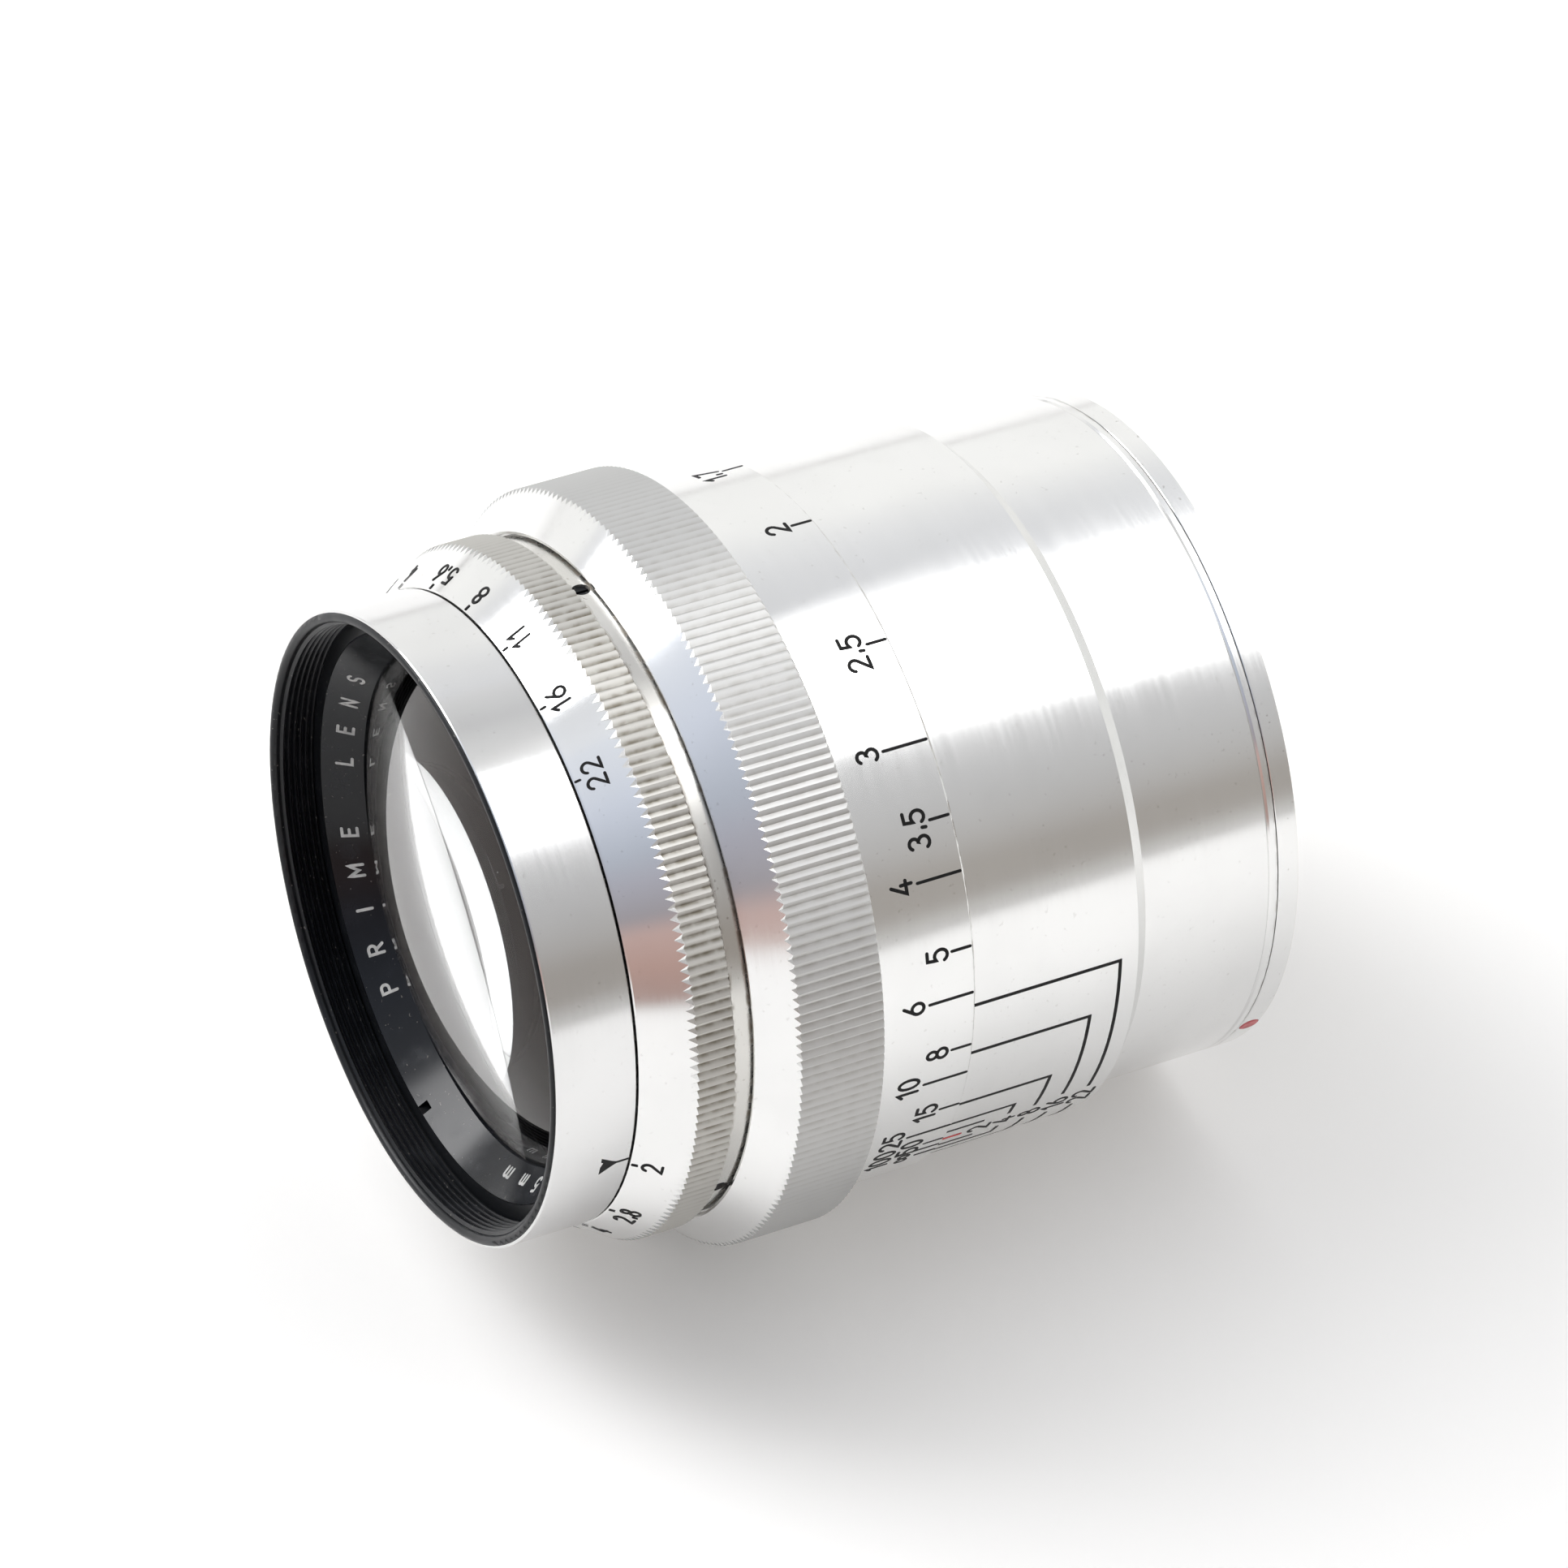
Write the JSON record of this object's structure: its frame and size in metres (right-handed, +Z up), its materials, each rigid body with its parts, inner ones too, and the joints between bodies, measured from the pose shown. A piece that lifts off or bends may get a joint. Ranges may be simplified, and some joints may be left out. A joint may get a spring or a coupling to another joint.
{
  "type": "prime camera lens",
  "caption": "Short-telephoto prime lens for a rangefinder camera: knurled focusing and aperture rings, scaled satin barrel, black filter thread, glass groups and a working iris.",
  "frame": {"origin": "centre of the rear mounting face, on the optical axis", "axes": "+Y along the optical axis towards the camera, -Y towards the subject; +Z up as the lens lies on its side; angles on the scales are counted about +Y from +Z towards +X"},
  "size_m": [0.0612, 0.0637, 0.0612],
  "materials": {
    "satin_alloy": "satin turned",
    "plated_brass": "satin chrome plate",
    "chrome_steel": "satin chrome",
    "black_anodised": "black anodised, semi-matte",
    "bronze": "greased, machined",
    "screw_steel": "machined",
    "blade_steel": "blued, matte",
    "optical_glass": "coated, polished",
    "red_enamel": "gloss enamel"
  },
  "bodies": {
    "barrel": {"depth_barrel": "satin_alloy", "helicoid_nut": "bronze", "mount_ring": "chrome_steel", "mount_screws": "screw_steel", "mount_index_dot": "red_enamel", "focus_stop_screw": "screw_steel", "coupler_retainer": "black_anodised"},
    "coupler": {"rangefinder_coupler": "bronze"},
    "focus_unit": {"helicoid_tube": "plated_brass", "focus_ring": "satin_alloy", "distance_sleeve": "satin_alloy", "head_barrel": "black_anodised", "head_set_screws": "screw_steel", "head_lock_ring": "bronze", "front_rim": "satin_alloy", "filter_ring": "black_anodised", "name_ring": "black_anodised", "front_cell": "black_anodised", "front_element": "optical_glass", "triplet_front_element": "optical_glass", "triplet_middle_element": "optical_glass", "triplet_rear_element": "optical_glass", "triplet_retaining_ring": "black_anodised", "iris_base_plate": "black_anodised", "rear_cell": "black_anodised", "rear_front_element": "optical_glass", "rear_middle_element": "optical_glass", "rear_rear_element": "optical_glass", "rear_retaining_ring": "black_anodised", "rear_baffle": "black_anodised"},
    "aperture_unit": {"aperture_ring": "satin_alloy", "aperture_link_screw": "screw_steel", "iris_drive_ring": "bronze"},
    "iris_blade_01": {"iris_blade_01": "blade_steel"},
    "iris_blade_02": {"iris_blade_02": "blade_steel"},
    "iris_blade_03": {"iris_blade_03": "blade_steel"},
    "iris_blade_04": {"iris_blade_04": "blade_steel"},
    "iris_blade_05": {"iris_blade_05": "blade_steel"},
    "iris_blade_06": {"iris_blade_06": "blade_steel"},
    "iris_blade_07": {"iris_blade_07": "blade_steel"},
    "iris_blade_08": {"iris_blade_08": "blade_steel"},
    "iris_blade_09": {"iris_blade_09": "blade_steel"},
    "iris_blade_10": {"iris_blade_10": "blade_steel"}
  },
  "joints": [
    {"name": "focus_turn", "type": "hinge", "parent": "barrel", "child": "coupler", "pos_m": [0, -0.01, 0], "axis": [0, 1, 0], "range_deg": [0, 145]},
    {"name": "focus_travel", "type": "slide", "parent": "coupler", "child": "focus_unit", "axis": [0, -1, 0], "range_m": [-0.00001, 0.00453]},
    {"name": "aperture_turn", "type": "hinge", "parent": "focus_unit", "child": "aperture_unit", "pos_m": [0, -0.053, 0], "axis": [0, 1, 0], "range_deg": [-107.4, 0]},
    {"name": "iris_blade_01_pivot", "type": "hinge", "parent": "focus_unit", "child": "iris_blade_01", "pos_m": [0, -0.034, 0.0192], "axis": [0, 1, 0], "range_deg": [-34, 0.1]},
    {"name": "iris_blade_02_pivot", "type": "hinge", "parent": "focus_unit", "child": "iris_blade_02", "pos_m": [0.01129, -0.034, 0.01553], "axis": [0, 1, 0], "range_deg": [-34, 0.1]},
    {"name": "iris_blade_03_pivot", "type": "hinge", "parent": "focus_unit", "child": "iris_blade_03", "pos_m": [0.01826, -0.034, 0.00593], "axis": [0, 1, 0], "range_deg": [-34, 0.1]},
    {"name": "iris_blade_04_pivot", "type": "hinge", "parent": "focus_unit", "child": "iris_blade_04", "pos_m": [0.01826, -0.034, -0.00593], "axis": [0, 1, 0], "range_deg": [-34, 0.1]},
    {"name": "iris_blade_05_pivot", "type": "hinge", "parent": "focus_unit", "child": "iris_blade_05", "pos_m": [0.01129, -0.034, -0.01553], "axis": [0, 1, 0], "range_deg": [-34, 0.1]},
    {"name": "iris_blade_06_pivot", "type": "hinge", "parent": "focus_unit", "child": "iris_blade_06", "pos_m": [0, -0.034, -0.0192], "axis": [0, 1, 0], "range_deg": [-34, 0.1]},
    {"name": "iris_blade_07_pivot", "type": "hinge", "parent": "focus_unit", "child": "iris_blade_07", "pos_m": [-0.01129, -0.034, -0.01553], "axis": [0, 1, 0], "range_deg": [-34, 0.1]},
    {"name": "iris_blade_08_pivot", "type": "hinge", "parent": "focus_unit", "child": "iris_blade_08", "pos_m": [-0.01826, -0.034, -0.00593], "axis": [0, 1, 0], "range_deg": [-34, 0.1]},
    {"name": "iris_blade_09_pivot", "type": "hinge", "parent": "focus_unit", "child": "iris_blade_09", "pos_m": [-0.01826, -0.034, 0.00593], "axis": [0, 1, 0], "range_deg": [-34, 0.1]},
    {"name": "iris_blade_10_pivot", "type": "hinge", "parent": "focus_unit", "child": "iris_blade_10", "pos_m": [-0.01129, -0.034, 0.01553], "axis": [0, 1, 0], "range_deg": [-34, 0.1]}
  ],
  "couplings": [
    {"joint": "focus_travel", "follows": "focus_turn", "m_per_rad": 0.0017825},
    {"joint": "iris_blade_01_pivot", "follows": "aperture_turn", "ratio": 0.31564},
    {"joint": "iris_blade_02_pivot", "follows": "aperture_turn", "ratio": 0.31564},
    {"joint": "iris_blade_03_pivot", "follows": "aperture_turn", "ratio": 0.31564},
    {"joint": "iris_blade_04_pivot", "follows": "aperture_turn", "ratio": 0.31564},
    {"joint": "iris_blade_05_pivot", "follows": "aperture_turn", "ratio": 0.31564},
    {"joint": "iris_blade_06_pivot", "follows": "aperture_turn", "ratio": 0.31564},
    {"joint": "iris_blade_07_pivot", "follows": "aperture_turn", "ratio": 0.31564},
    {"joint": "iris_blade_08_pivot", "follows": "aperture_turn", "ratio": 0.31564},
    {"joint": "iris_blade_09_pivot", "follows": "aperture_turn", "ratio": 0.31564},
    {"joint": "iris_blade_10_pivot", "follows": "aperture_turn", "ratio": 0.31564}
  ]
}
